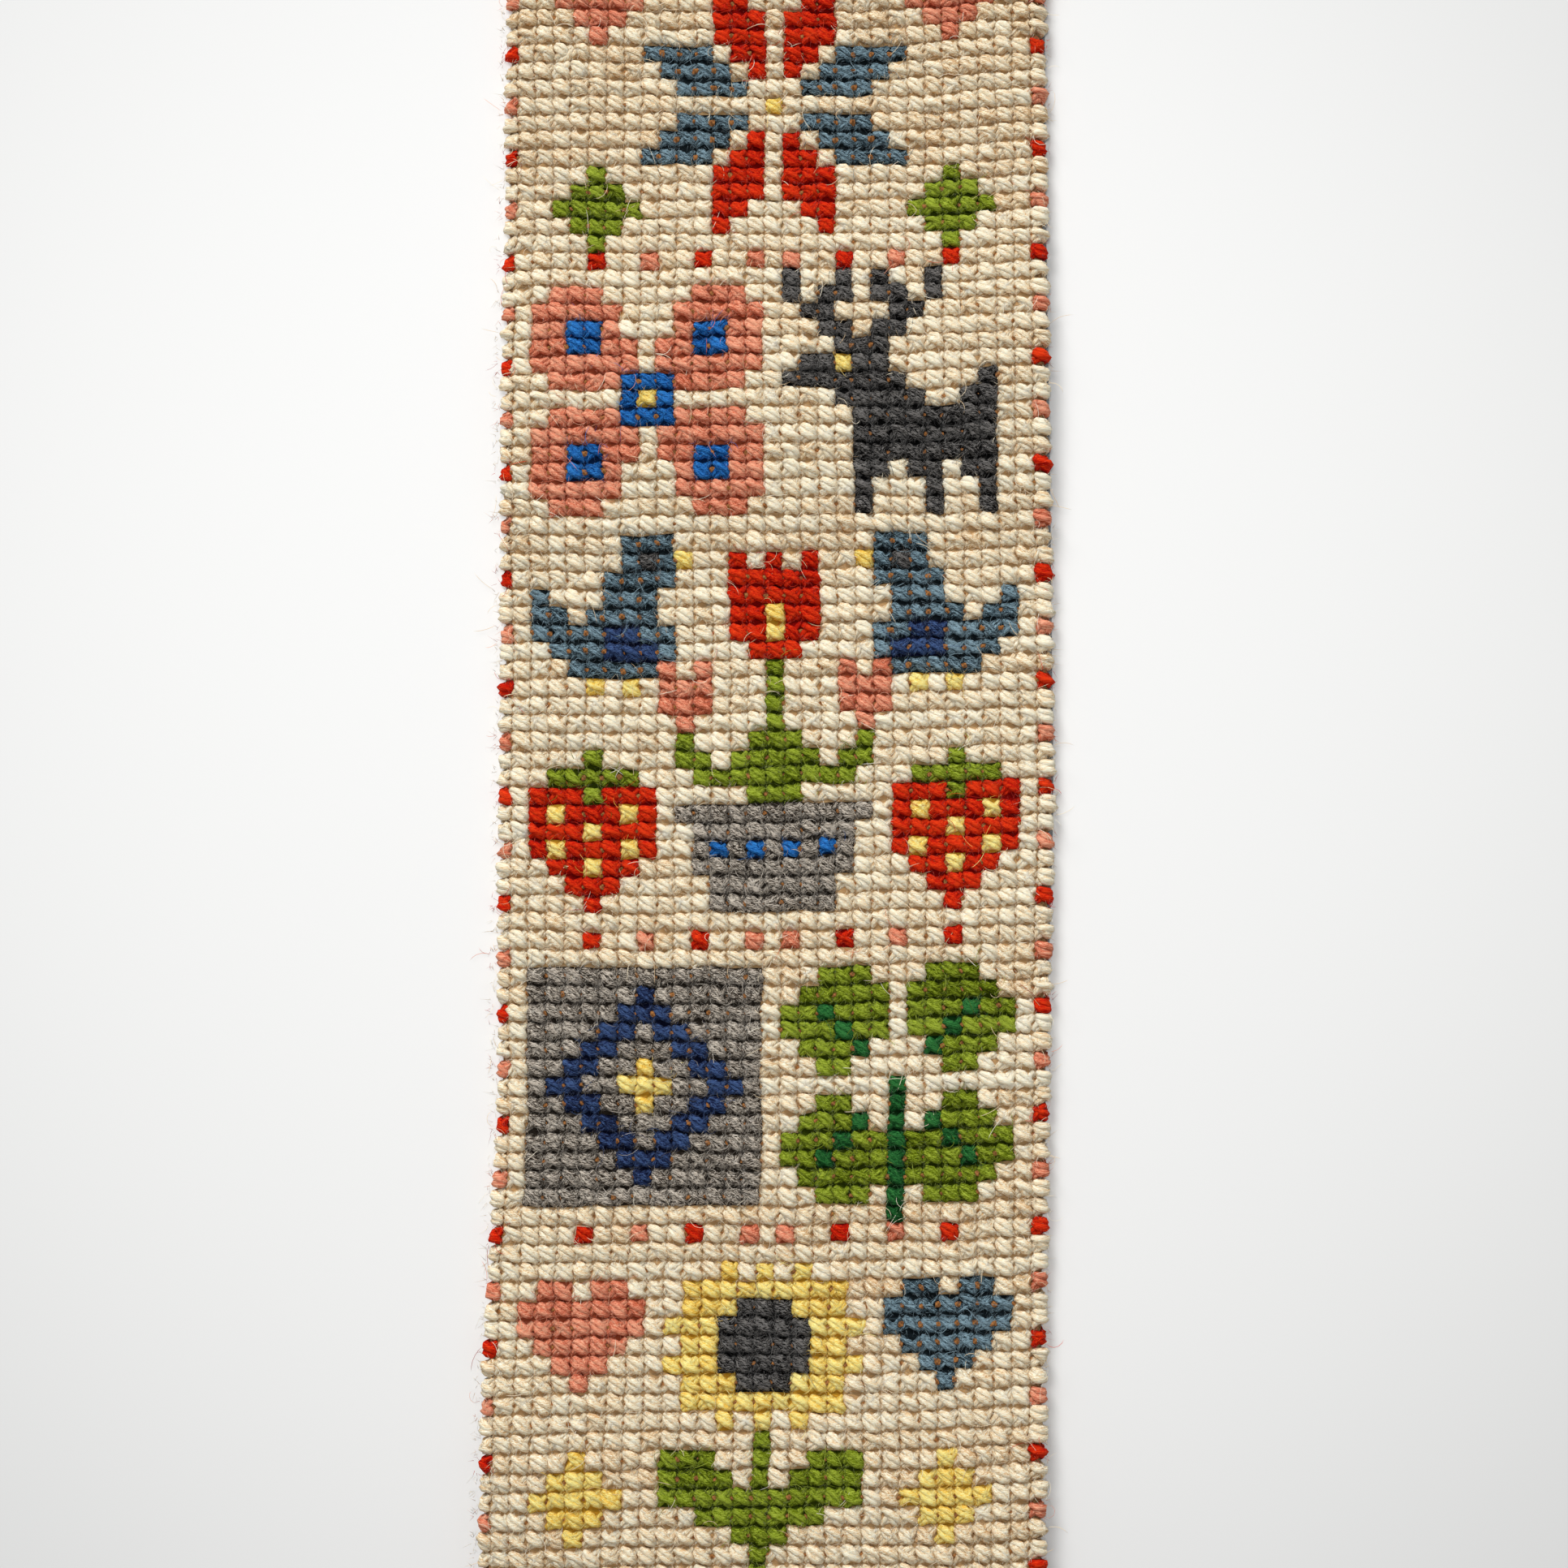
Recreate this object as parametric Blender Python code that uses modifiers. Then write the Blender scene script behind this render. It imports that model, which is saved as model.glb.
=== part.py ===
"""A long, narrow cross-stitch hanging in wool, lying face up on a flat surface.

Metres, with the surface at Z = 0. The length runs along Y, the width along X, and the
origin is in the middle of the underside. The hanging is two pieces of cloth: the
embroidered band, whose edges are turned under in one mitred hem, and a plain lining
that covers the back of that hem. Each is first drawn flat, and then laid in the outline
and the shallow waves in which the band rests.
"""

from collections import namedtuple
import math

import bmesh
import bpy
import numpy as np

MM = 0.001

# One cross stitch is square, and the number of stitches gives the band's size. The
# outermost column on each side rolls over its fold, which takes a little off the width.
STITCH = 3.6 * MM
COLUMNS = 31
ROWS = 120
ROLLED_OFF = 0.7 * MM
HALF_WIDTH = COLUMNS * STITCH / 2 - ROLLED_OFF
HALF_LENGTH = ROWS * STITCH / 2

# Wool covers the front on both faces of the canvas. The hem behind it is bare canvas.
FRONT_THICK = 2.2 * MM
HEM_THICK = 1.0 * MM
HEM_WIDTH = 16 * MM
SLIT = 0.3 * MM
FOLD_REACH = SLIT / 2 + (FRONT_THICK + HEM_THICK) / 2
CORNER = 5 * MM

# Between the hems the front bridges the lining and sinks a little towards it.
SAG = 1.0 * MM
SAG_START = 11 * MM
SAG_RUN = 14 * MM

LINING_THICK = 1.0 * MM
LINING_RIM = 0.3 * MM
LINING_TUCK = 1.5 * MM
CLEARANCE = 0.3 * MM

# Where the two long edges lie, in millimetres, and how far the lining's right edge
# shows past the band's right edge. Below zero it is tucked behind it.
Station = namedtuple("Station", "y left right peek")
STATIONS = (
    Station(-216, -56.8, 52.4, -1.2),
    Station(-152, -56.6, 52.9, -1.2),
    Station(-108, -56.1, 53.7, -1.2),
    Station(-88, -55.2, 54.1, -1.0),
    Station(-69, -53.9, 54.6, -0.6),
    Station(-37, -54.0, 55.3, 0.1),
    Station(-6, -54.2, 56.1, 0.5),
    Station(43, -54.1, 56.0, 0.5),
    Station(92, -54.1, 55.5, 0.4),
    Station(159, -54.0, 55.7, 0.5),
    Station(216, -54.0, 55.6, -0.8),
)
EDGE_EASE = 7 * MM

# The rows of stitches climb a little from the left edge to the right one, and most of
# all at the right edge.
ROW_CLIMB = 1.0 * MM
EDGE_CLIMB = 1.0 * MM

# The waves that lift the cloth off the surface, in millimetres. The lean is how far
# a crest runs towards +Y for each millimetre towards +X.
Wave = namedtuple("Wave", "y length height lean")
WAVES = (
    Wave(79, 96, 3.0, 0.12),
    Wave(-150, 112, 3.2, -0.10),
)

# The meshes. Lines are set closer together towards the folds.
BAND_COLUMNS = 12
BAND_ROWS = 44
LINING_COLUMNS = 8
FOLD_STEPS = 6


def clear_scene():
    for obj in list(bpy.data.objects):
        bpy.data.objects.remove(obj, do_unlink=True)


def cloth_material(name, colour, roughness):
    material = bpy.data.materials.new(name)
    material.use_nodes = True
    shader = material.node_tree.nodes["Principled BSDF"]
    shader.inputs["Base Color"].default_value = (*colour, 1)
    shader.inputs["Roughness"].default_value = roughness
    shader.inputs["Metallic"].default_value = 0
    return material


def add_piece(name, bm, material, collection):
    mesh = bpy.data.meshes.new(name)
    bm.to_mesh(mesh)
    bm.free()
    mesh.materials.append(material)
    mesh.shade_smooth()
    obj = bpy.data.objects.new(name, mesh)
    collection.objects.link(obj)
    return obj


def station_value(column, y):
    """One column of the stations at y, in metres, averaged over a short stretch."""
    ys = [station.y * MM for station in STATIONS]
    values = [getattr(station, column) * MM for station in STATIONS]
    return float(np.mean(np.interp([y - EDGE_EASE, y, y + EDGE_EASE], ys, values)))


def wave_height(x, y):
    """How far the cloth is lifted off the surface at a place."""
    height = 0.0
    for wave in WAVES:
        away = (y - wave.y * MM - wave.lean * x) / (wave.length * MM / 2)
        if abs(away) < 1:
            height += wave.height * MM * math.cos(away * math.pi / 2) ** 2
    return height


def laid(x, y, z, left, right):
    """Where a point of flat cloth, HALF_WIDTH to each side of x = 0, comes to lie."""
    side = x / HALF_WIDTH
    climbed = y + ROW_CLIMB * side / 2 + EDGE_CLIMB * max(0.0, side) ** 3
    place = left + (right - left) * (side + 1) / 2
    return place, climbed, z + wave_height(place, climbed)


def crowd(s, amount, power):
    """Moves a grid line at s, from -1 to 1, towards the nearer end."""
    return s * (1 + amount) - amount * math.copysign(abs(s) ** power, s)


def flat_grid(columns, rows, half_width, half_length):
    """An open flat mesh facing up, with its lines crowded towards its edges."""
    bm = bmesh.new()
    bmesh.ops.create_grid(bm, x_segments=columns, y_segments=rows, size=1)
    for vert in bm.verts:
        vert.co.x = half_width * crowd(vert.co.x, 0.3, 3)
        vert.co.y = half_length * crowd(vert.co.y, 0.08, 9)
    return bm


def soften_corner(x, y):
    """Draws a point near one of the four corners in, so that the corner is round."""
    start_x = HALF_WIDTH - CORNER
    start_y = HALF_LENGTH - CORNER
    over_x = (abs(x) - start_x) / CORNER
    over_y = (abs(y) - start_y) / CORNER
    if over_x <= 0 or over_y <= 0:
        return x, y
    drawn_x = start_x + CORNER * over_x * math.sqrt(1 - over_y**2 / 2)
    drawn_y = start_y + CORNER * over_y * math.sqrt(1 - over_x**2 / 2)
    return math.copysign(drawn_x, x), math.copysign(drawn_y, y)


def sag_depth(x, y, half_width, half_length):
    """How far the front sinks at a place, from nothing over the hem to the full sag."""
    inside = min(half_width - abs(x), half_length - abs(y))
    t = min(1.0, max(0.0, (inside - SAG_START) / SAG_RUN))
    return SAG * t * t * (3 - 2 * t)


def hem_rings():
    """(inset, drop, thickness share) of each ring from the front's edge to the hem's."""
    hem_share = HEM_THICK / FRONT_THICK
    rings = []
    for step in range(1, FOLD_STEPS + 1):
        angle = math.pi * step / FOLD_STEPS
        share = 1 + (hem_share - 1) * step / FOLD_STEPS
        outward = math.sin(angle) * SLIT / 2
        rings.append((-outward, (1 - math.cos(angle)) * SLIT / 2, share))
    rings.append((HEM_WIDTH, SLIT, hem_share))
    return rings


def turn_under(bm, half_width, half_length, shares):
    """Extrudes the edge of a flat sheet round a fold and back under it, mitred."""
    edges = [edge for edge in bm.edges if edge.is_boundary]
    inset_before = 0.0
    drop_before = 0.0
    for inset, drop, share in hem_rings():
        made = bmesh.ops.extrude_edge_only(bm, edges=edges)["geom"]
        scale_x = (half_width - inset) / (half_width - inset_before)
        scale_y = (half_length - inset) / (half_length - inset_before)
        for item in made:
            if isinstance(item, bmesh.types.BMVert):
                item.co.x *= scale_x
                item.co.y *= scale_y
                item.co.z -= drop - drop_before
                item[shares] = share
        edges = [item for item in made if isinstance(item, bmesh.types.BMEdge)]
        edges = [edge for edge in edges if edge.is_boundary]
        inset_before, drop_before = inset, drop


def embroidered_band(material, collection):
    """The stitched canvas and its turned-under hem, as one cloth."""
    half_width = HALF_WIDTH - FOLD_REACH
    half_length = HALF_LENGTH - FOLD_REACH
    bm = flat_grid(BAND_COLUMNS, BAND_ROWS, half_width, half_length)
    shares = bm.verts.layers.float.new("share")
    for vert in bm.verts:
        vert[shares] = 1.0
        vert.co.z = -sag_depth(vert.co.x, vert.co.y, half_width, half_length)
    turn_under(bm, half_width, half_length, shares)
    bmesh.ops.recalc_face_normals(bm, faces=bm.faces)
    front_underside = LINING_THICK + CLEARANCE + HEM_THICK + SLIT
    for vert in bm.verts:
        x, y = soften_corner(vert.co.x, vert.co.y)
        left = station_value("left", y)
        right = station_value("right", y)
        vert.co = laid(x, y, front_underside + vert.co.z, left, right)
    weights = [vert[shares] for vert in bm.verts]
    band = add_piece("embroidered_band", bm, material, collection)
    group = band.vertex_groups.new(name="yarn_thickness")
    for index, weight in enumerate(weights):
        group.add([index], weight, "REPLACE")
    wool = band.modifiers.new("canvas_and_wool", "SOLIDIFY")
    wool.thickness = FRONT_THICK
    wool.offset = 1
    wool.use_even_offset = True
    wool.vertex_group = group.name
    return band


def lining(material, collection):
    """The plain cloth that the band lies on, flat on the surface between the waves."""
    bm = flat_grid(LINING_COLUMNS, BAND_ROWS, HALF_WIDTH, HALF_LENGTH - LINING_TUCK)
    for vert in bm.verts:
        x, y = soften_corner(vert.co.x, vert.co.y)
        left = station_value("left", y) + LINING_TUCK
        right = station_value("right", y) + station_value("peek", y)
        vert.co = laid(x, y, 0.0, left, right)
    sheet = add_piece("lining", bm, material, collection)
    cloth = sheet.modifiers.new("cloth", "SOLIDIFY")
    cloth.thickness = LINING_THICK
    cloth.offset = 1
    cloth.use_even_offset = True
    rim = sheet.modifiers.new("soft_rim", "BEVEL")
    rim.width = LINING_RIM
    rim.segments = 2
    rim.limit_method = "ANGLE"
    rim.angle_limit = math.radians(50)
    return sheet


def main():
    clear_scene()
    hanging = bpy.data.collections.new("cross_stitch_hanging")
    bpy.context.scene.collection.children.link(hanging)
    wool = cloth_material("cream_tapestry_wool", (0.52, 0.38, 0.25), 0.95)
    sateen = cloth_material("grey_cotton_sateen", (0.17, 0.18, 0.19), 0.8)
    embroidered_band(wool, hanging)
    lining(sateen, hanging)


main()
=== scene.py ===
# %% [markdown]
# # A narrow wool cross-stitch hanging, lying face up
#
# The real thing is a strip of coarse canvas. Every square of it is covered by one cross
# stitch in thick wool, its edges are turned under in a hem, and a plain cloth covers the
# back of the hem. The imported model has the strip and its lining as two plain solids. This
# script dresses them: it makes the canvas, some 3,700 stitches of twisted yarn, the loose
# fibres that stand out of the wool, the lining and the thread that holds it.
#
# Everything is worked out flat, in millimetres, as it lies in the embroiderer's frame, and
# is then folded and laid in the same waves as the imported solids.

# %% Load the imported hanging
import math
from collections import namedtuple

import bpy
import numpy as np
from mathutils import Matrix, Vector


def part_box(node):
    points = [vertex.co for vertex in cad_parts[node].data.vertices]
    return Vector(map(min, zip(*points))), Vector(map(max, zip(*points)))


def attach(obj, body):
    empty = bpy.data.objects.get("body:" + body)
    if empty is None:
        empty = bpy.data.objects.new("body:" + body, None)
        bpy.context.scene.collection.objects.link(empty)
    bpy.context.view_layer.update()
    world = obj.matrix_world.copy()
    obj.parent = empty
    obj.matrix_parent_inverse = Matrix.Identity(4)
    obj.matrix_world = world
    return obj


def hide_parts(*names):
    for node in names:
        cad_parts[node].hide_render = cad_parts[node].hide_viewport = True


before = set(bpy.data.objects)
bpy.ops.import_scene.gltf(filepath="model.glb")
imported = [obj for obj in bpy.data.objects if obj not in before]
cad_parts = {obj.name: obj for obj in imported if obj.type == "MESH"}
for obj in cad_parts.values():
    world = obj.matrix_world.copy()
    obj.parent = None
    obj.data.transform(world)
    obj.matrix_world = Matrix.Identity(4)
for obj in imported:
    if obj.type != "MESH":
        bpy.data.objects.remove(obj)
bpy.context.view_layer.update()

MM = 0.001
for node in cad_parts:
    low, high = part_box(node)
    print(node, "in mm:", [round(float(size) / MM, 1) for size in high - low])

# %% [markdown]
# ## How the cloth lies
#
# The outline wanders as it does on the table: the two long edges are given at a few places
# along the length, as in the solids. The rows of stitches climb towards the right edge, and
# two shallow waves lift the cloth. One function lays any point of folded cloth this way, so
# the canvas, the yarn, the fibres and the lining can never part.

# %% Sizes of the cloth
STITCH = 3.6
COLUMNS = 31
ROWS = 120
ROLLED_OFF = 0.7
HALF_WIDTH = COLUMNS * STITCH / 2 - ROLLED_OFF
HALF_LENGTH = ROWS * STITCH / 2

Station = namedtuple("Station", "y left right peek")
STATIONS = (
    Station(-216, -56.8, 52.4, -1.2),
    Station(-152, -56.6, 52.9, -1.2),
    Station(-108, -56.1, 53.7, -1.2),
    Station(-88, -55.2, 54.1, -1.0),
    Station(-69, -53.9, 54.6, -0.6),
    Station(-37, -54.0, 55.3, 0.1),
    Station(-6, -54.2, 56.1, 0.5),
    Station(43, -54.1, 56.0, 0.5),
    Station(92, -54.1, 55.5, 0.4),
    Station(159, -54.0, 55.7, 0.5),
    Station(216, -54.0, 55.6, -0.8),
)
EDGE_EASE = 7
ROW_CLIMB = 1.0
EDGE_CLIMB = 1.0

# A wave's crest lies at y on the middle line, and leans towards +Y for each mm towards +X.
Wave = namedtuple("Wave", "y length height lean")
WAVES = (Wave(79, 96, 3.0, 0.12), Wave(-150, 112, 3.2, -0.10))


def station_value(column, y):
    """One column of the stations at y, averaged over a short stretch."""
    ys = [station.y for station in STATIONS]
    values = [getattr(station, column) for station in STATIONS]
    return sum(np.interp(y + ease, ys, values) for ease in (-EDGE_EASE, 0, EDGE_EASE)) / 3


def lie(points, left_tuck=0.0, right_tuck=0.0, peeks=False):
    """Lays folded cloth, points in mm from its middle line, on the table, in metres.

    The tucks draw its two long edges in, and a cloth that peeks shows past the right one.
    """
    x, y, z = points.T
    side = x / HALF_WIDTH
    left = station_value("left", y) + left_tuck
    right = station_value("right", y) - right_tuck
    if peeks:
        right = right + station_value("peek", y)
    across = left + (right - left) * (side + 1) / 2
    along = y + ROW_CLIMB * side / 2 + EDGE_CLIMB * np.maximum(0, side) ** 3
    for wave in WAVES:
        away = (along - wave.y - wave.lean * across) / (wave.length / 2)
        z = z + wave.height * np.cos(np.clip(away, -1, 1) * math.pi / 2) ** 2
    return np.column_stack([across, along, z]) * MM


print("band:", round(2 * HALF_WIDTH, 1), "x", round(2 * HALF_LENGTH, 1), "mm")

# %% [markdown]
# ## How the edge is folded
#
# The outermost column of stitches rolls over the fold, so it shows from above only in part.
# A flat point past the start of the fold is therefore wound round a small radius, and past
# half a turn it runs back under the front. Under the fold the yarn is pressed flatter.

# %% Fold the edges under
CANVAS_AT = 3.3
FOLD_RADIUS = 0.8
YARN_RISE = 1.25
PRESSED = 0.45
FOLD_X = HALF_WIDTH - FOLD_RADIUS - YARN_RISE
FOLD_Y = HALF_LENGTH - FOLD_RADIUS - YARN_RISE
CORNER = 5.0

# Between the hems the canvas sinks a little. The sag starts this far inside the hem's fold.
SAG = 1.0
SAG_START = 11.0
SAG_RUN = 14.0
SAG_INSET = 1.75


def canvas_height(x, y):
    """Height of the canvas over the lining's underside. It sinks between the hems."""
    inside_x = HALF_WIDTH - SAG_INSET - np.abs(x)
    inside_y = HALF_LENGTH - SAG_INSET - np.abs(y)
    inside = np.minimum(inside_x, inside_y)
    t = np.clip((inside - SAG_START) / SAG_RUN, 0, 1)
    return CANVAS_AT - SAG * t * t * (3 - 2 * t)


def soft_corner(x, y):
    """Draws points near one of the four corners in, so that the corner is round."""
    start_x = HALF_WIDTH - CORNER
    start_y = HALF_LENGTH - CORNER
    over_x = np.maximum(np.abs(x) - start_x, 0) / CORNER
    over_y = np.maximum(np.abs(y) - start_y, 0) / CORNER
    near_x = np.minimum(over_x, 1)
    near_y = np.minimum(over_y, 1)
    less_x = CORNER * over_x * (1 - np.sqrt(1 - near_y**2 / 2))
    less_y = CORNER * over_y * (1 - np.sqrt(1 - near_x**2 / 2))
    return x - np.sign(x) * less_x, y - np.sign(y) * less_y


def fold(points):
    """Turns the edges of flat work under. Heights are over the middle of the canvas."""
    x, y = soft_corner(points[:, 0], points[:, 1])
    over_x = np.maximum(np.abs(x) - FOLD_X, 0)
    over_y = np.maximum(np.abs(y) - FOLD_Y, 0)
    arc = np.hypot(over_x, over_y)
    turn = np.minimum(arc / FOLD_RADIUS, math.pi)
    under = np.maximum(arc - math.pi * FOLD_RADIUS, 0)
    height = points[:, 2] * (1 - PRESSED * np.clip(turn / math.pi * 2 - 1, 0, 1))
    out = (FOLD_RADIUS + height) * np.sin(turn) - under
    up = (FOLD_RADIUS + height) * np.cos(turn) - FOLD_RADIUS
    arc = np.maximum(arc, 1e-9)
    folded_x = np.sign(x) * (np.minimum(np.abs(x), FOLD_X) + out * over_x / arc)
    folded_y = np.sign(y) * (np.minimum(np.abs(y), FOLD_Y) + out * over_y / arc)
    return np.column_stack([folded_x, folded_y, canvas_height(folded_x, folded_y) + up])


print("the fold starts", round(HALF_WIDTH - FOLD_X, 2), "mm inside the edge")

# %% [markdown]
# ## The chart
#
# An embroiderer works from squared paper. Here each motif is a few short rows of letters,
# one letter for each dye and a dot for the ground. Most motifs are symmetrical, so they are
# charted as a half: the first letter of a row is the motif's middle column.

# %% Chart the motifs
STAR = ("...r....", "..rr....", ".rrr....", ".rrr....", ".rr.bbbb", ".r.bbbb.", "..bbbb..",
        "y.......", "..bbbb..", ".r.bbbb.", ".rr.bbbb", ".rrr....", ".rrr....", "..rr....",
        "...r....")
ROSE = ("...sss.", "..sssss", "..sqqss", ".ssqqss", ".ssssss", "qqssss.", "yq.....", "qqssss.",
        ".ssssss", ".ssqqss", "..sqqss", "..sssss", "...sss.")
TULIPS = ("r.r....", "rrr....", "rrr....", "yrr....", "yrr....", "rr.....", "g...s.s", "g...sss",
          "g...sss", "g....s.", "gg...g.", "ggg.gg.", "ggggg..", "gg.....", "eeeeee.", "eeeee..",
          "eqeqe..", "eeeee..", "eeee...", "eeee...")
CLOVER = ("..ggg..", ".ggggg.", ".gggdgg", ".ggdggg", "..dggg.", "...gg..", "d......", "d..gg..",
          "d.dggg.", "dggdggg", "dgggdgg", "dggggg.", "d.ggg..", "d......")
BLOCK = ("eeeeeee", "neeeeee", "nneeeee", "enneeee", "eenneee", "yeennee", "yyeenne", "yeennee",
         "eenneee", "enneeee", "nneeeee", "neeeeee", "eeeeeee")
SUNFLOWER = ("y.y...", "yyyyy.", "kkyyy.", "kkkyyy", "kkkyy.", "kkkyyy", "kkyyy.", "yyyyy.",
             "y.y...", "g.....", "g..ggg", "g.gggg", "gggggg", "gggg..", "gg....", "g.....",
             "g.....")
STRAWBERRY = ("g...", "ggg.", "grrr", "rryr", "yrrr", "rryr", "yrr.", "rr..", "r...")
HEART = (".rr.", "rrrr", "rrrr", "rrr.", "rr..", "r...")
DIAMOND = ("r..", "rr.", "rrr", "rr.", "r..")
DOTS = (".s..r..s..r..",)
BUTTERFLY = (".k..yyy", "k..yyyy", "k.yyrry", "kyyrryy", "kyyyyyy", "k.yyyy.", "k.yryy.",
             "k.yyyy.", "k..yy..")

# These face one way, so they are charted whole.
STAG = ("k..k.k..k....", "k.kk.kk.k....", ".kk...kk.....", "..kk.kk......", "...kkk.......",
        ".kkykk.......", "kkkkkkk....k.", "...kkkkk..kk.", "....kkkkkkkk.", "....kkkkkkkk.",
        "....kkkkkkkk.", "....kk.kk.kk.", "....k...k..k.", "....k...k..k.")
BIRD = (".....bbb.", ".....bkby", "....bbbb.", "b...bbb..", "bb.bbbb..", "bbbbnnbb.", ".bbbnnnb.",
        "..bbbbb..", "...y.y...")
FISH = ("....bbbb.....", "..bbbbnbb..b.", ".bkbbnbbbnbb.", "bbbbbnbbbnbbb", ".bbbbnbbbnbb.",
        "..bbbbnbb..b.", "....bbbb.....")


def whole(half):
    """A motif's rows, mirrored about their first letter."""
    return [row[:0:-1] + row for row in half]


def flipped(rows):
    return [row[::-1] for row in rows]


def in_dye(letter, half):
    """A motif that is charted in red, worked in another dye."""
    return whole([row.replace("r", letter) for row in half])


# Where each motif goes: its middle column, and its top row counted from the upper end.
Motif = namedtuple("Motif", "rows middle top")
MOTIFS = (
    Motif(in_dye("r", HEART), 6, 4),
    Motif(in_dye("s", HEART), 15, 4),
    Motif(in_dye("r", HEART), 24, 4),
    Motif(in_dye("s", DIAMOND), 5, 13),
    Motif(whole(STAR), 15, 14),
    Motif(in_dye("s", DIAMOND), 25, 13),
    Motif(in_dye("g", DIAMOND), 5, 25),
    Motif(in_dye("g", DIAMOND), 25, 25),
    Motif(whole(DOTS), 15, 30),
    Motif(whole(ROSE), 8, 32),
    Motif(STAG, 22, 31),
    Motif(BIRD, 6, 46),
    Motif(whole(TULIPS), 15, 47),
    Motif(flipped(BIRD), 24, 46),
    Motif(whole(STRAWBERRY), 5, 58),
    Motif(whole(STRAWBERRY), 25, 58),
    Motif(whole(DOTS), 15, 68),
    Motif(whole(BLOCK), 8, 70),
    Motif(whole(CLOVER), 22, 70),
    Motif(whole(DOTS), 15, 84),
    Motif(in_dye("s", HEART), 5, 87),
    Motif(whole(SUNFLOWER), 15, 86),
    Motif(in_dye("b", HEART), 25, 87),
    Motif(in_dye("y", DIAMOND), 5, 96),
    Motif(in_dye("y", DIAMOND), 25, 96),
    Motif(whole(BUTTERFLY), 8, 106),
    Motif(FISH, 22, 107),
)
GROUND = "c"

# Single stitches of red and pink take turns along both edges.
SPOT_EVERY = 6
RED_SPOT_AT = 5
PINK_SPOT_AT = 2

chart = np.full((ROWS, COLUMNS), GROUND)
for motif in MOTIFS:
    left = motif.middle - len(motif.rows[0]) // 2
    for down, row in enumerate(motif.rows):
        for right, letter in enumerate(row):
            if letter != ".":
                chart[ROWS - 1 - motif.top - down, left + right] = letter
for edge in (0, COLUMNS - 1):
    chart[RED_SPOT_AT::SPOT_EVERY, edge] = "r"
    chart[PINK_SPOT_AT::SPOT_EVERY, edge] = "s"
print("stitches in a motif:", int((chart != GROUND).sum()), "of", chart.size)

# %% [markdown]
# ## Dyes and materials
#
# The yarn is plied tapestry wool. Its surface is matt and full of fine fibres. The crest of a
# strand is painted lighter, a painted highlight, and the groove beside it and its underside are
# painted deeper and warmer, a painted shade. The meshes hold this painted light and shade,
# with each stitch's own tone, in an attribute named shade. Grey and charcoal wool is spun from
# mixed fleece, so pale and dark fibres lie side by side in it. One function makes the finish
# of every dye from a row of this table. Mottle is how uneven the fibres are in colour. Plump
# is how full the yarn is: the thin blue yarns let some canvas show. Hairs is how many loose
# fibres it sheds.

# %% Colours and a helper for nodes
Dye = namedtuple("Dye", "name letter deep body pale mottle plump hairs")
DYES = (
    Dye("cream", "c", "#c89e6e", "#f6dfb9", "#fcf2da", 0.44, 1.06, 1.0),
    Dye("red", "r", "#860200", "#c01200", "#e03c12", 0.36, 1.00, 0.8),
    Dye("salmon", "s", "#a04a2e", "#d87456", "#f0aa8a", 0.38, 1.02, 0.9),
    Dye("yellow", "y", "#c8922a", "#f8cc5a", "#ffec9a", 0.36, 1.02, 0.8),
    Dye("green", "g", "#344000", "#687808", "#9cac3a", 0.42, 0.99, 1.2),
    Dye("dark_green", "d", "#062a08", "#125022", "#36783c", 0.42, 0.98, 1.2),
    Dye("slate_blue", "b", "#10191d", "#394b54", "#88a2ae", 0.52, 0.88, 1.5),
    Dye("azure", "q", "#04224a", "#084a90", "#3480ca", 0.42, 0.94, 1.2),
    Dye("navy", "n", "#070c26", "#182348", "#445c88", 0.50, 0.96, 1.5),
    Dye("grey", "e", "#2a231c", "#655b51", "#c6bcae", 0.84, 1.03, 1.8),
    Dye("charcoal", "k", "#050404", "#1a1918", "#74716e", 0.86, 1.03, 2.2),
)

# Curled fibres: the value of the noise that each follows, and how much paler it is.
Curl = namedtuple("Curl", "value paler")
CURLS = (Curl(0.46, 0.30), Curl(0.57, -0.30))
CURL_LINE = 0.014
FIBRE_BUMP = 0.06
LIGHT_REACH = 0.5


def linear(hex_colour):
    """An sRGB hex colour as linear red, green, blue and alpha."""
    parts = [int(hex_colour[place:place + 2], 16) / 255 for place in (1, 3, 5)]
    return [c / 12.92 if c <= 0.04045 else ((c + 0.055) / 1.055) ** 2.4 for c in parts] + [1.0]


def add_node(tree, kind, links=None, **settings):
    """Adds a node with its settings, and links or sets its inputs by name or number."""
    made = tree.nodes.new(kind)
    for name, value in settings.items():
        setattr(made, name, value)
    for name, source in (links or {}).items():
        if isinstance(source, bpy.types.NodeSocket):
            tree.links.new(source, made.inputs[name])
        else:
            made.inputs[name].default_value = source
    return made


def math_node(tree, operation, *values):
    """The result of some maths on its inputs, which are given in order."""
    inputs = dict(enumerate(values))
    return add_node(tree, "ShaderNodeMath", inputs, operation=operation).outputs[0]


def new_material(name, roughness, sheen):
    """A matt material whose shader has its constant values on its own sockets."""
    material = bpy.data.materials.new(name)
    material.use_nodes = True
    tree = material.node_tree
    shader = tree.nodes["Principled BSDF"]
    shader.inputs["Roughness"].default_value = roughness
    shader.inputs["Specular IOR Level"].default_value = 0.1
    shader.inputs["Sheen Weight"].default_value = sheen
    shader.inputs["Sheen Roughness"].default_value = 0.6
    return material, tree, shader


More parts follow.
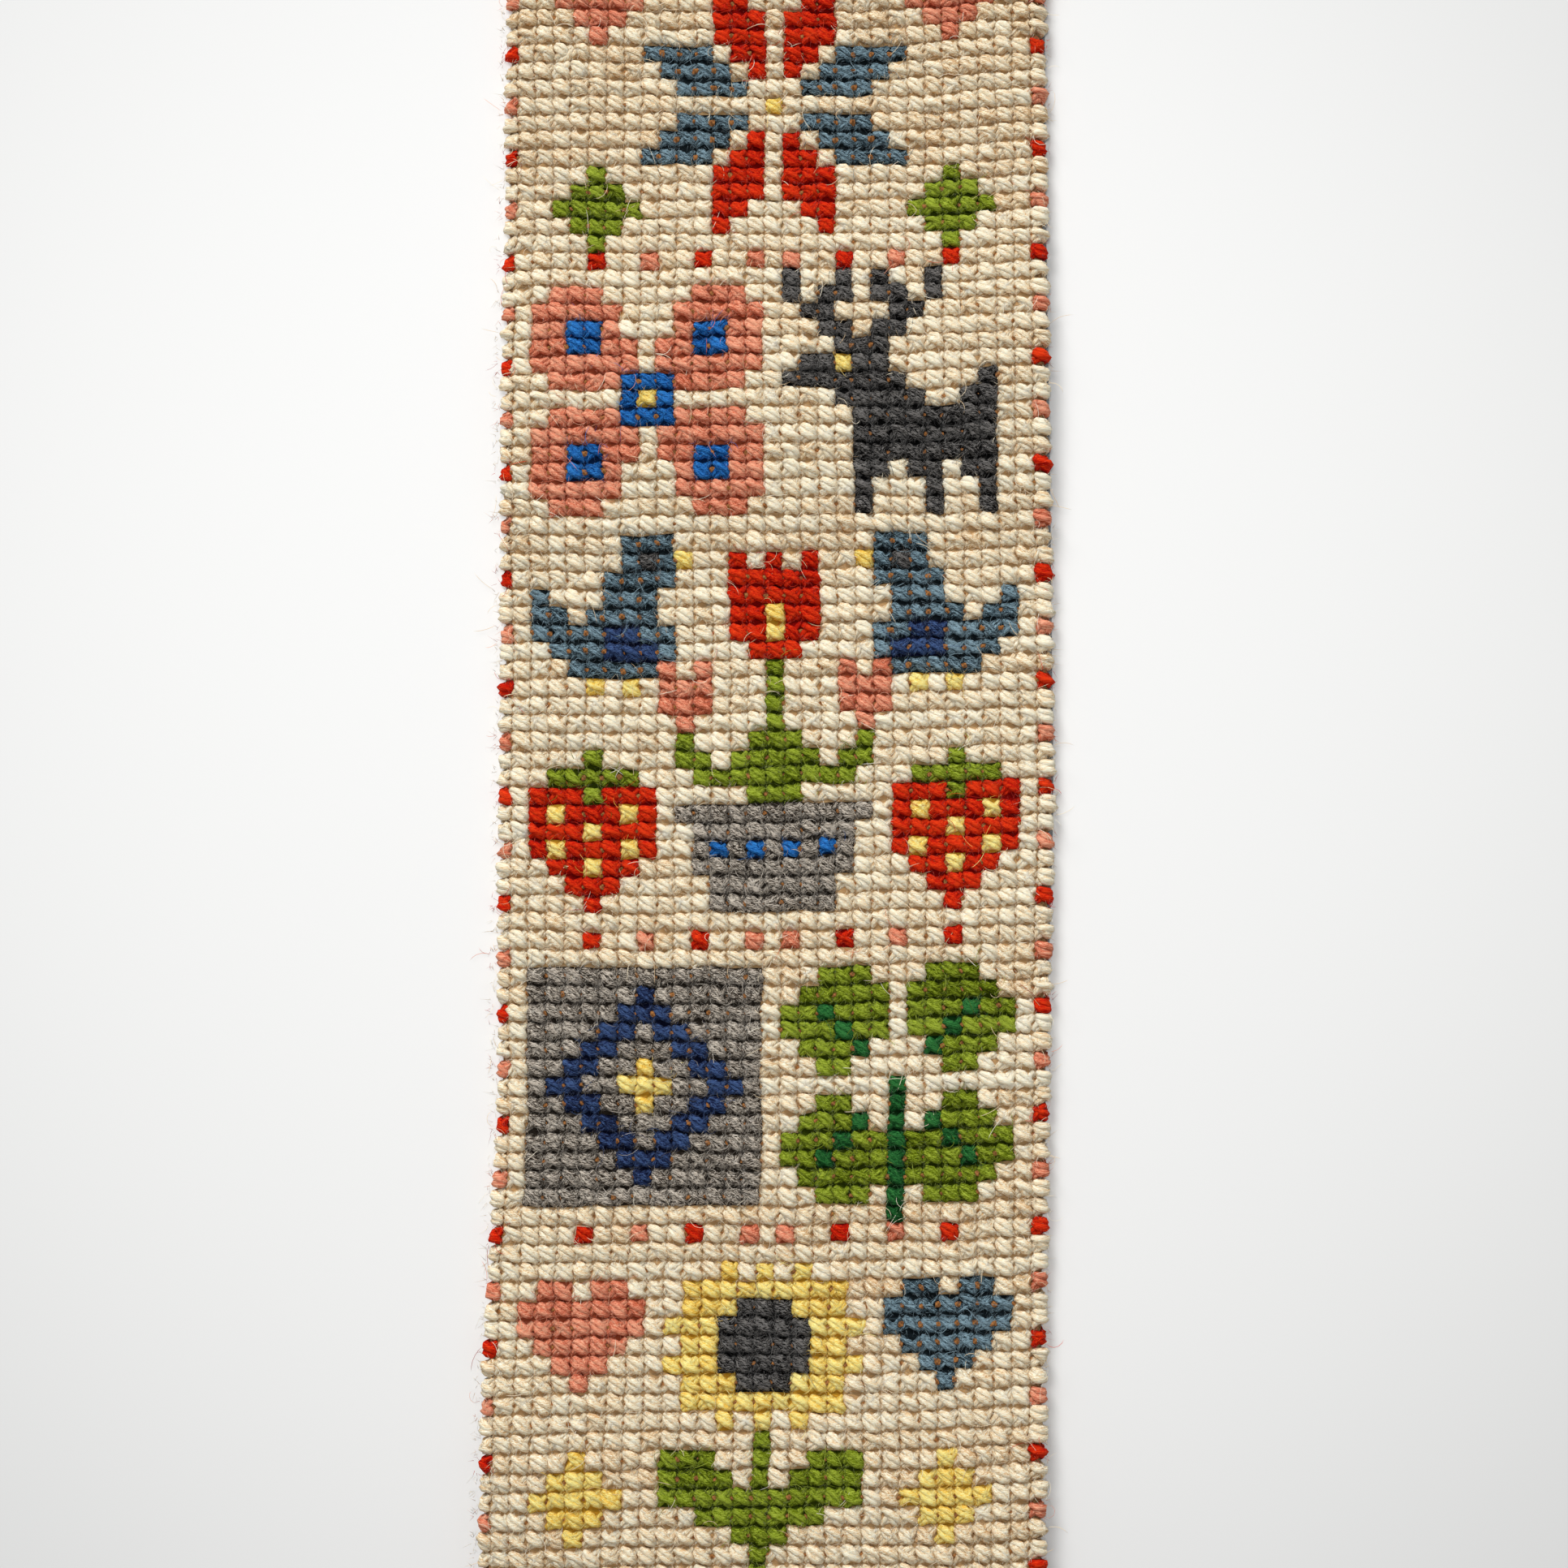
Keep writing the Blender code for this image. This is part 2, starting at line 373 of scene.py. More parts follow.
def wool(dye):
    """Plied tapestry wool, dyed. It is matt, and light goes a little way into its fibres.

    The map named yarn holds mm along the yarn and turns around it.
    """
    material, tree, shader = new_material(dye.name + "_tapestry_wool", 0.95, 0.0)
    yarn = add_node(tree, "ShaderNodeUVMap", uv_map="yarn")
    place = add_node(tree, "ShaderNodeSeparateXYZ", {0: yarn.outputs[0]})
    along, around = place.outputs[0], place.outputs[1]

    # Fibres lie along the strand. A real one is 0.03 mm thick, too fine to show, so these
    # stand for bundles, 0.2 mm wide and 1 mm long.
    long_way = math_node(tree, "MULTIPLY", along, 0.9)
    wide_way = math_node(tree, "MULTIPLY", around, 17.0)
    lay = add_node(tree, "ShaderNodeCombineXYZ", {0: long_way, 1: wide_way})
    fibre = add_node(tree, "ShaderNodeTexNoise",
                     {"Vector": lay.outputs[0], "Scale": 1.0, "Detail": 3.0, "Roughness": 0.6,
                      "Distortion": 0.8})

    # Stray fibres cross them at a slant.
    slant = math_node(tree, "MULTIPLY_ADD", along, 4.0, wide_way)
    stray_lay = add_node(tree, "ShaderNodeCombineXYZ", {0: long_way, 1: slant, 2: 7.0})
    stray = add_node(tree, "ShaderNodeTexNoise",
                     {"Vector": stray_lay.outputs[0], "Scale": 1.0, "Detail": 2.0})
    mixed = math_node(tree, "ADD", fibre.outputs[0], stray.outputs[0])
    spread = add_node(tree, "ShaderNodeMapRange",
                      {"Value": mixed, "From Min": 0.84, "From Max": 1.16,
                       "To Min": -1.0, "To Max": 1.0})

    # The shade of a place on its strand, made uneven by the fibres. It holds the painted
    # highlight on the strand's crest and the painted shade in its groove, with the stitch's tone.
    shade = add_node(tree, "ShaderNodeAttribute", attribute_name="shade")
    tone = math_node(tree, "MULTIPLY_ADD", spread.outputs[0], dye.mottle, shade.outputs["Fac"])

    # Curled fibres lie over all that, pale in the light and dark in the shade. Thin lines of
    # equal value in a smooth noise curl as they do.
    round_way = math_node(tree, "MULTIPLY", around, 3.6)
    curl_lay = add_node(tree, "ShaderNodeCombineXYZ", {0: along, 1: round_way, 2: 3.0})
    noise = add_node(tree, "ShaderNodeTexNoise",
                     {"Vector": curl_lay.outputs[0], "Scale": 1.1, "Detail": 1.0,
                      "Distortion": 0.6})
    for curl in CURLS:
        line = math_node(tree, "COMPARE", noise.outputs[0], curl.value, CURL_LINE)
        tone = math_node(tree, "MULTIPLY_ADD", line, curl.paler, tone)
    ramp = add_node(tree, "ShaderNodeValToRGB", {0: tone})
    ramp.color_ramp.elements[0].position = 0.0
    ramp.color_ramp.elements[0].color = linear(dye.deep)
    ramp.color_ramp.elements[1].position = 0.5
    ramp.color_ramp.elements[1].color = linear(dye.body)
    ramp.color_ramp.elements.new(1.0).color = linear(dye.pale)
    tree.links.new(ramp.outputs[0], shader.inputs["Base Color"])

    bump = add_node(tree, "ShaderNodeBump",
                    {"Height": spread.outputs[0], "Strength": 1.0,
                     "Distance": FIBRE_BUMP * MM})
    tree.links.new(bump.outputs[0], shader.inputs["Normal"])
    shader.inputs["Subsurface Weight"].default_value = 0.4
    shader.inputs["Subsurface Scale"].default_value = LIGHT_REACH * MM
    shader.inputs["Subsurface Radius"].default_value = (1.0, 0.9, 0.8)
    return material


wools = {dye.letter: wool(dye) for dye in DYES}
print("dyes:", ", ".join(dye.name for dye in DYES))

# %% [markdown]
# ## Many small things as one mesh
#
# Thousands of stitches as thousands of objects would be slow. So each kind of small shape
# is worked out as an array of points, all copies at once, and the copies are joined in one
# mesh. A batch holds such an array, with the faces of one copy, two maps and the shade. The
# first map is the yarn's own. On the second each copy has a small cell, so that no two share
# a pixel when textures are baked.

# %% Join batches of small shapes
Batch = namedtuple("Batch", "points faces cell yarn shade")


def spindle(rings, around):
    """Faces of a tube with a point at both ends, and each corner as (ring, place round it)."""

    def vert(ring, turn):
        if ring == 0:
            return 0
        if ring > rings:
            return rings * around + 1
        return 1 + (ring - 1) * around + turn % around

    faces, corners = [], []
    for ring in range(rings + 1):
        for turn in range(around):
            face = [(ring, turn), (ring, turn + 1), (ring + 1, turn + 1), (ring + 1, turn)]
            if ring == 0:
                face = [(0, turn + 0.5), (1, turn + 1), (1, turn)]
            if ring == rings:
                face = [(ring, turn), (ring, turn + 1), (ring + 1, turn + 0.5)]
            faces.append([vert(*corner) for corner in face])
            corners += face
    return faces, np.array(corners, float)


def joined(name, batches, place):
    """One mesh of all the copies in the batches. place puts flat points in the scene."""
    total = sum(len(batch.points) for batch in batches)
    grid = math.ceil(math.sqrt(total))
    verts, corners, starts, cells, yarns, shades = [], [], [], [], [], []
    vert_base = 0
    corner_base = 0
    copy_base = 0
    for batch in batches:
        count, each = batch.points.shape[:2]
        pattern = np.concatenate([np.array(face) for face in batch.faces])
        sizes = np.array([len(face) for face in batch.faces])
        first = np.concatenate([[0], np.cumsum(sizes)[:-1]])
        copies = np.arange(count)[:, None]
        verts.append(batch.points.reshape(-1, 3))
        corners.append((pattern + copies * each + vert_base).ravel())
        starts.append((first + copies * len(pattern) + corner_base).ravel())
        corner_at = np.column_stack([(copies + copy_base) % grid, (copies + copy_base) // grid])
        cells.append(((corner_at[:, None, :] + batch.cell[None]) / grid).reshape(-1, 2))
        yarns.append(batch.yarn.reshape(-1, 2))
        shades.append(np.broadcast_to(batch.shade.reshape(count, -1), (count, each)).ravel())
        vert_base += count * each
        corner_base += count * len(pattern)
        copy_base += count
    mesh = bpy.data.meshes.new(name)
    points = place(np.concatenate(verts))
    corners = np.concatenate(corners)
    starts = np.concatenate(starts)
    mesh.vertices.add(len(points))
    mesh.vertices.foreach_set("co", points.ravel().astype(np.float32))
    mesh.loops.add(len(corners))
    mesh.loops.foreach_set("vertex_index", corners.astype(np.int32))
    mesh.polygons.add(len(starts))
    mesh.polygons.foreach_set("loop_start", starts.astype(np.int32))
    mesh.update(calc_edges=True)
    mesh.shade_smooth()
    for map_name, places in (("yarn", yarns), ("OFBake", cells)):
        layer = mesh.uv_layers.new(name=map_name)
        layer.uv.foreach_set("vector", np.concatenate(places).ravel().astype(np.float32))
    shade = mesh.attributes.new("shade", "FLOAT", "POINT")
    shade.data.foreach_set("value", np.concatenate(shades).astype(np.float32))
    obj = bpy.data.objects.new(name, mesh)
    bpy.context.scene.collection.objects.link(obj)
    return obj


def pyramids(middles, corners, rim, top, shade):
    """A batch of low four-sided pyramids. Their corners are given from their middles.

    The base has four points of its own, so that the sides are shaded without it.
    """
    points = np.empty((len(middles), 9, 3))
    for index, corner in enumerate(corners):
        points[:, index, :2] = middles + corner
    points[:, :4, 2] = np.reshape(rim, (-1, 1))
    points[:, 4, :2] = middles
    points[:, 4, 2] = top
    points[:, 5:] = points[:, :4]
    faces = [[0, 1, 4], [1, 2, 4], [2, 3, 4], [3, 0, 4], [8, 7, 6, 5]]
    corner_cells = [(0.05, 0.05), (0.65, 0.05), (0.65, 0.65), (0.05, 0.65), (0.35, 0.35)]
    base_cells = [(0.70, 0.95), (0.95, 0.95), (0.95, 0.70), (0.70, 0.70)]
    cell = np.array([corner_cells[corner] for face in faces[:4] for corner in face] + base_cells)
    return Batch(points, faces, cell, np.tile(3 * cell, (len(middles), 1, 1)), shade)


def triangle_count(obj):
    """How many triangles a mesh has, with its larger faces cut in triangles."""
    obj.data.calc_loop_triangles()
    return len(obj.data.loop_triangles)


def finish_piece(obj, material):
    """Gives a piece its finish and lets it move with the hanging."""
    obj.data.materials.append(material)
    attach(obj, "root")
    print(obj.name, triangle_count(obj), "triangles")


# %% [markdown]
# ## The shape of one stitch
#
# A cross stitch has two arms. The under arm runs from the lower left hole to the upper right
# one, and the over arm crosses it from the upper left to the lower right. An arm is two
# strands, twisted round each other to the left, so on the over arm they look almost level,
# and on the under arm steep. It is pinched where it dives into a hole and swells between
# them, and the over arm presses the under arm down in the middle.
#
# Each strand is a tube of rings between two points. Its middle line swings round the arm's
# own, and its underside is drawn down flat, so that no gap opens below it. No two arms are
# alike: a hand pulls each a little tighter or looser. Wool also fills the holes between the
# arms, as a low pad under the whole stitch. Little light gets in there, and the pad is
# painted darker as well, a painted shade.

# %% The rings and the twist of an arm
# A ring's place is the share of the arm's length, and its other values are in mm.
Ring = namedtuple("Ring", "place lift half_width half_height")
OVER_RINGS = (
    Ring(0.07, 0.50, 0.46, 0.42),
    Ring(0.34, 1.02, 0.66, 0.60),
    Ring(0.66, 1.02, 0.66, 0.60),
    Ring(0.93, 0.50, 0.46, 0.42),
)
UNDER_RINGS = (
    Ring(0.08, 0.46, 0.50, 0.42),
    Ring(0.50, 0.66, 0.66, 0.54),
    Ring(0.92, 0.46, 0.50, 0.42),
)
OVER_AROUND = 6
UNDER_AROUND = 5


def finer(rings):
    """The same rings with one more between each two, for an arm that goes round a fold."""
    made = []
    for first, second in zip(rings, rings[1:]):
        made += [first, Ring(*np.mean([first, second], axis=0))]
    return made + [rings[-1]]


# How far the strands swing sideways and upwards, in mm, and their turn in each mm.
STRANDS = 2
SPREAD = 0.56
SPREAD_UP = 0.26
TWIST = 0.47

# Where an arm dives in, and the height that its underside is drawn down to.
TIP_DEPTH = 0.55
BASE = 0.32
FLATTEN = 1.8

# How much one arm differs from the next: in where it starts and ends, the turn of its
# strands, its bow to one side, its fullness, its height and the evenness of its surface.
END_STRAY = 0.08
TURN_STRAY = 0.75
BOW_STRAY = 0.20
FULL_STRAY = 0.08
LIFT_STRAY = 0.05
UNEVEN = 0.05

# The shade is 0 for the deep colour, 0.5 for the body and 1 for the pale one. A strand's
# middle sits at MIDDLE_SHADE. CREST_SHADE paints its top paler and its sides and underside
# deeper, down to LOWEST_CREST, as a painted highlight and a painted shade.
MIDDLE_SHADE = 0.38
CREST_SHADE = 0.50
LOWEST_CREST = -0.5
# The under arm is painted a little darker, a painted shade for lying under the over arm.
UNDER_SHADE = -0.06
# The pad is painted much darker, a painted shade for the holes between the arms.
PAD_SHADE = -0.50

# Every strand starts at another place of the yarn, so no two have the same fibres.
YARN_STARTS = 400
YARN_STEP = 10.0

# The pad's height at its rim and over it. Its corners lie just past the four holes.
PAD_RIM = 0.30
PAD_RISE = 0.45
PAD_FILL = 2.5
PAD_REACH = 1.07

# An arm starts a little inside its square. Full yarn fills the gap between two rows.
ROW_INSET = 0.31
ROW_FILL = 2.0
COLUMN_INSET = -0.08

# %% Set out the holes and the shade of every stitch
# The canvas is a little out of true: its holes drift in slow waves, and each hole is pulled
# a little by its own stitches.
HOLE_WANDER = 0.19
MOST_WANDER = 0.36
SHIFT_LEFT = 0.5

rng = np.random.default_rng(31)
hole_rows, hole_columns = np.mgrid[0:ROWS + 1, 0:COLUMNS + 1]
hole_x = (hole_columns - COLUMNS / 2) * STITCH - SHIFT_LEFT
hole_y = (hole_rows - ROWS / 2) * STITCH
hole_x = hole_x + 0.18 * np.sin(hole_y / 19 + 0.6) + 0.10 * np.sin(hole_y / 7.3 + hole_x / 21)
hole_y = (hole_y + 0.20 * np.sin(hole_x / 14 + hole_y / 37)
          + 0.12 * np.sin(hole_x / 6.1 + hole_y / 11))
hole_x = hole_x + np.clip(rng.normal(0, HOLE_WANDER, hole_x.shape), -MOST_WANDER, MOST_WANDER)
hole_y = hole_y + np.clip(rng.normal(0, HOLE_WANDER, hole_y.shape), -MOST_WANDER, MOST_WANDER)

# Wool from one needleful has one shade, and a needleful covers part of a row. The ground
# has gone a little darker towards both ends.
ROW_SHADE = 0.05
NEEDLEFUL_SHADE = 0.06
STITCH_SHADE = 0.09
ENDS_SHADE = -0.16
ENDS_FROM = 70
ENDS_RUN = 80

row_shade = np.repeat(rng.normal(0, ROW_SHADE, (ROWS, 1)), COLUMNS, axis=1)
for row in range(ROWS):
    change = rng.integers(4, COLUMNS - 4)
    row_shade[row, change:] += rng.normal(0, NEEDLEFUL_SHADE)
stitch_shade = row_shade + rng.normal(0, STITCH_SHADE, (ROWS, COLUMNS))
ends = np.clip((np.abs(hole_y[:-1, :-1]) - ENDS_FROM) / ENDS_RUN, 0, 1)
stitch_shade += ENDS_SHADE * ends * (chart == GROUND)
print("holes:", hole_x.size)

# %% Make the two arms


def arm(start, end, rings, around, plump, shade):
    """Batches of the strands of an arm, for many arms between two lists of flat points."""
    count = len(start)
    start = start + rng.normal(0, END_STRAY, start.shape)
    end = end + rng.normal(0, END_STRAY, end.shape)
    way = end - start
    length = np.hypot(way[:, 0], way[:, 1])[:, None, None]
    sideways = np.column_stack([-way[:, 1], way[:, 0]]) / length[:, :, 0]
    place, lifts, half_widths, half_heights = np.array(rings).T[:, None, :, None]
    turn = rng.normal(0, TURN_STRAY, (count, 1, 1))
    bow = rng.normal(0, BOW_STRAY, (count, 1, 1)) * np.sin(math.pi * place)
    full = plump[:, None, None] * rng.normal(1, FULL_STRAY, (count, 1, 1))

    # The strands meet in the holes and are furthest apart halfway.
    apart = np.sqrt(np.sin(math.pi * place))
    angle = (2 * math.pi * np.arange(around) / around + math.pi / 2)[None, None, :]
    down = np.maximum(-np.sin(angle), 0)
    # Painted highlight and shade: crest is 1 on the top of a strand, where it is painted palest,
    # and falls to LOWEST_CREST on its sides and underside, where it is painted deeper. It fades
    # near the holes.
    crest = np.maximum(np.sin(angle), LOWEST_CREST) * np.sqrt(apart)
    # The two tips, down in the holes, get the deepest painted shade.
    crest = np.concatenate([[-1.0], crest.ravel(), [-1.0]])
    faces, corners = spindle(len(rings), around)
    shares = np.array([0.0] + [ring.place for ring in rings] + [1.0])
    cell = np.column_stack([corners[:, 0] / (len(rings) + 1), corners[:, 1] / around])
    batches = []
    for strand in range(STRANDS):
        swing = turn + 2 * math.pi * strand / STRANDS - TWIST * length * (place - 0.5)
        radius = full * rng.normal(1, UNEVEN, (count, len(rings), around))
        lift = lifts * full + rng.normal(0, LIFT_STRAY, (count, len(rings), 1))
        lift = lift + SPREAD_UP * apart * np.sin(swing)
        off = bow + SPREAD * full * apart * np.cos(swing)
        off = off + half_widths * radius * np.cos(angle) * (1 + down)
        rows = np.empty((count, len(rings), around, 3))
        for axis in (0, 1):
            base = start[:, axis, None, None] + way[:, axis, None, None] * place
            rows[..., axis] = base + sideways[:, axis, None, None] * off
        rise = half_heights * radius * np.maximum(np.sin(angle), 0)
        rows[..., 2] = lift + rise - (lift - BASE) * np.minimum(FLATTEN * down, 1)
        tips = np.empty((2, count, 1, 3))
        tips[0, :, 0, :2] = start
        tips[1, :, 0, :2] = end
        tips[..., 2] = -TIP_DEPTH
        points = np.concatenate([tips[0], rows.reshape(count, -1, 3), tips[1]], axis=1)
        yarn = np.empty((count, len(corners), 2))
        yarn[..., 0] = shares[corners[:, 0].astype(int)] * length[:, :, 0]
        yarn[..., 0] += YARN_STEP * rng.integers(0, YARN_STARTS, (count, 1))
        yarn[..., 1] = corners[:, 1] / around
        # The painted highlight and shade join the stitch's own tone in the shade attribute.
        shades = shade[:, None] + MIDDLE_SHADE + CREST_SHADE * crest
        batches.append(Batch(points, faces, cell * 0.94 + 0.03, yarn, shades))
    return batches


def crossed(rows, columns, over_rings, under_rings, plump):
    """Batches of the under arms, the over arms and the pads of the given squares."""
    shade = stitch_shade[rows, columns]
    row_inset = ROW_INSET * (1 - ROW_FILL * (plump - 1))
    rim = PAD_RIM + PAD_FILL * max(plump - 1, 0)
    plump = np.full(len(rows), plump)

    def hole(up, right, inset_x=0.0, inset_y=0.0):
        x = hole_x[rows + up, columns + right] + inset_x
        y = hole_y[rows + up, columns + right] + inset_y
        return np.column_stack([x, y])

    upper_left = hole(1, 0, COLUMN_INSET, -row_inset)
    lower_right = hole(0, 1, -COLUMN_INSET, row_inset)
    lower_left = hole(0, 0, COLUMN_INSET, row_inset)
    upper_right = hole(1, 1, -COLUMN_INSET, -row_inset)
    over = arm(upper_left, lower_right, over_rings, OVER_AROUND, plump, shade)
    # Painted shade: the under arm is painted a little darker, as it lies under the over arm.
    under_shade = shade + UNDER_SHADE
    under = arm(lower_left, upper_right, under_rings, UNDER_AROUND, plump, under_shade)
    middles = (lower_left + upper_right) / 2
    corners = [hole(up, right) for up, right in ((0, 0), (0, 1), (1, 1), (1, 0))]
    around_it = [PAD_REACH * (corner - middles) for corner in corners]
    # The pad is painted darker, a painted shade for the holes it fills.
    pads = pyramids(middles, around_it, rim, rim + PAD_RISE, shade + PAD_SHADE)
    return [*under, *over, pads]


def stitches(name, wanted, dye):
    """All the stitches of the wanted squares, worked in one dye."""
    rows, columns = np.nonzero(wanted)
    at_fold = (columns % (COLUMNS - 1) == 0) | (rows % (ROWS - 1) == 0)
    batches = crossed(rows[~at_fold], columns[~at_fold], OVER_RINGS, UNDER_RINGS, dye.plump)
    if at_fold.any():
        rows, columns = rows[at_fold], columns[at_fold]
        batches += crossed(rows, columns, finer(OVER_RINGS), finer(UNDER_RINGS), dye.plump)
    piece = joined(name, batches, lambda points: lie(fold(points)))
    finish_piece(piece, wools[dye.letter])
    return piece


# %% Work the ground and the motifs
GROUND_STRIPS = 4
stitched = []
column_of = np.tile(np.arange(COLUMNS), (ROWS, 1))
for strip in range(GROUND_STRIPS):
    first = strip * COLUMNS // GROUND_STRIPS
    last = (strip + 1) * COLUMNS // GROUND_STRIPS
    wanted = (chart == GROUND) & (column_of >= first) & (column_of < last)
    stitched.append(stitches(f"ground_stitches_{strip + 1}", wanted, DYES[0]))
for dye in DYES[1:]:
    stitched.append(stitches(f"{dye.name}_stitches", chart == dye.letter, dye))
print("stitched pieces:", len(stitched))

# %% [markdown]
# ## The canvas
#
# The canvas shows only as small brown specks between the stitches. A bare thread of it
# bulges up beside each stitch, halfway between two holes, and catches the light there, most
# of all where the yarn is thin. The canvas is a flat sheet whose edge is extruded round the
# fold and back under it, ring by ring, as a hem is turned. Scaling each new ring inwards
# gives the mitred corners. Jute is matt and its threads are uneven, so the weave is two
# crossed waves, one for each set of threads, that a noise makes lighter and darker.

# %% Weave the canvas
HEM = 16.0
CANVAS_THICK = 0.5
CANVAS_PITCH = 0.45
FOLD_STEPS = 6


def woven(name, light, dark, pitch):
    """Plain woven cloth. The pitch is the distance from thread to thread, in mm."""
    material, tree, shader = new_material(name, 0.9, 0.05)
    coordinates = add_node(tree, "ShaderNodeTexCoord")
    place = add_node(tree, "ShaderNodeSeparateXYZ", {0: coordinates.outputs["Object"]})
    waves = []
    for axis in (0, 1):
        turn = math_node(tree, "MULTIPLY", place.outputs[axis], math.pi / (pitch * MM))
        waves.append(math_node(tree, "SINE", turn))
    crossing = math_node(tree, "MULTIPLY", waves[0], waves[1])
    noise = add_node(tree, "ShaderNodeTexNoise",
                     {"Vector": coordinates.outputs["Object"], "Scale": 0.5 / (pitch * MM),
                      "Detail": 3.0})
    level = math_node(tree, "MULTIPLY_ADD", crossing, 0.25, noise.outputs[0])
    ramp = add_node(tree, "ShaderNodeValToRGB", {0: level})
    ramp.color_ramp.elements[0].position = 0.2
    ramp.color_ramp.elements[0].color = linear(dark)
    ramp.color_ramp.elements[1].position = 0.75
    ramp.color_ramp.elements[1].color = linear(light)
    tree.links.new(ramp.outputs[0], shader.inputs["Base Color"])
    bump = add_node(tree, "ShaderNodeBump",
                    {"Height": crossing, "Strength": 0.6, "Distance": 0.2 * pitch * MM})
    tree.links.new(bump.outputs[0], shader.inputs["Normal"])
    return material


def edge_ring(drop, half_width, half_length, inset):
    """Extrudes the selected outline, of this half size, down and inwards by mm."""
    bpy.ops.mesh.extrude_region_move(TRANSFORM_OT_translate={"value": (0, 0, -drop)})
    scale = (1 - inset / half_width, 1 - inset / half_length, 1)
    bpy.ops.transform.resize(value=scale, center_override=(0, 0, 0))


def sheet_mesh(name, half_width, half_length, columns, rows):
    """A flat grid, in mm, selected and open in edit mode."""
    bpy.ops.object.select_all(action="DESELECT")
    bpy.ops.mesh.primitive_grid_add(x_subdivisions=columns, y_subdivisions=rows, size=2)
    obj = bpy.context.object
    obj.name = obj.data.name = name
    bpy.ops.object.mode_set(mode="EDIT")
    bpy.ops.transform.resize(value=(half_width, half_length, 1), center_override=(0, 0, 0))
    return obj


def apply_modifier(obj, kind, **settings):
    """Adds a modifier with its settings and applies it at once."""
    modifier = obj.modifiers.new(kind.lower(), kind)
    for name, value in settings.items():
        setattr(modifier, name, value)
    bpy.ops.object.modifier_apply(modifier=modifier.name)


def placed(obj, place):
    """Moves every point of a mesh by a function of all the points."""
    points = np.empty(len(obj.data.vertices) * 3)
    obj.data.vertices.foreach_get("co", points)
    obj.data.vertices.foreach_set("co", place(points.reshape(-1, 3)).ravel())
    obj.data.update()


canvas = sheet_mesh("canvas", FOLD_X, FOLD_Y, 26, 100)
bpy.ops.mesh.select_all(action="SELECT")
bpy.ops.mesh.region_to_loop()
reach = 0.0
depth = 0.0
for step in range(1, FOLD_STEPS + 1):
    angle = math.pi * step / FOLD_STEPS
    next_reach = FOLD_RADIUS * math.sin(angle)
    next_depth = FOLD_RADIUS * (1 - math.cos(angle))
    edge_ring(next_depth - depth, FOLD_X + reach, FOLD_Y + reach, reach - next_reach)
    reach = next_reach
    depth = next_depth
edge_ring(0.0, FOLD_X + reach, FOLD_Y + reach, HEM - FOLD_RADIUS)
bpy.ops.object.mode_set(mode="OBJECT")


def settle_canvas(points):
    """Rounds the canvas's corners and lets it sag between the hems."""
    x, y = soft_corner(points[:, 0], points[:, 1])
    return np.column_stack([x, y, canvas_height(x, y) + points[:, 2]])


apply_modifier(canvas, "SOLIDIFY", thickness=CANVAS_THICK, offset=0.0)
placed(canvas, lambda points: lie(settle_canvas(points)))
canvas.data.shade_smooth()
jute = woven("brown_jute_canvas", "#94734c", "#5c4228", CANVAS_PITCH)
finish_piece(canvas, jute)
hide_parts("embroidered_band")

# %% Raise the bare canvas threads between the stitches
# A thread that is not covered looks warmer than the canvas. Its height over the canvas
# depends on how much thinner than full the yarn on both sides of it is.
THREAD_SPOT = ((-0.95, -0.80), (0.95, -0.80), (0.95, 0.80), (-0.95, 0.80))
SPOT_STRAY = 0.2
THREAD_TOP = 1.00
THREAD_SHOWS = 6.0
TOP_STRAY = 0.28

middle_x = (hole_x[1:, 1:-1] + hole_x[:-1, 1:-1]) / 2
middle_y = (hole_y[1:, 1:-1] + hole_y[:-1, 1:-1]) / 2
spots = np.column_stack([middle_x.ravel(), middle_y.ravel()])
plump_of = np.zeros(chart.shape)
for dye in DYES:
    plump_of[chart == dye.letter] = dye.plump
thinness = 1 - (plump_of[:, 1:] + plump_of[:, :-1]).ravel() / 2
tops = THREAD_TOP + THREAD_SHOWS * thinness + rng.normal(0, TOP_STRAY, len(spots))
spot_corners = [corner + rng.normal(0, SPOT_STRAY, spots.shape) for corner in THREAD_SPOT]
threads = joined(
    "bare_canvas_threads",
    [pyramids(spots, spot_corners, 0.0, tops, np.zeros(len(spots)))],
    lambda points: lie(fold(points)),
)
bare_jute = woven("bare_jute_thread", "#a36d3c", "#643f22", CANVAS_PITCH)
finish_piece(threads, bare_jute)

# %% [markdown]
# ## Loose fibres
#
# Wool is hairy. A short fuzz stands out of every stitch and bridges the gaps, straight
# strays lie over it, and longer curved fibres cross the neighbours, most of all on the grey
# and the charcoal. A short fibre is a spike on a three-cornered foot. A long one is a thin
# prism with a point at both ends, bent in a flat arc just over the stitches. At the edges
# they stick out past the fold. Their colours are those of the yarn that they come from, a
# little paler or deeper. Each fibre is a mesh with as few faces as will show.

# %% Spin the loose fibres
# Lengths and thickness are in mm. The bend is in radians, and no rings make a spike.
Fuzz = namedtuple("Fuzz", "name per_stitch shortest longest thick bend rings seed")
FUZZ = (
    Fuzz("short_fuzz", 10.4, 0.6, 1.5, 0.050, 0.0, 0, 5),
    Fuzz("stray_fuzz", 2.3, 1.2, 2.6, 0.045, 0.0, 0, 7),
    Fuzz("long_fibres", 1.1, 2.0, 5.5, 0.040, 1.8, 4, 6),
)

# The height of the wool at a square's rim, and how much higher it is in the middle. Fibres
# start just below it.
WOOL_RIM = 0.80
WOOL_CROWN = 0.80
ROOT_DEPTH = 0.05
ROOTS_WITHIN = 0.95
HEADING_STRAY = 1.2


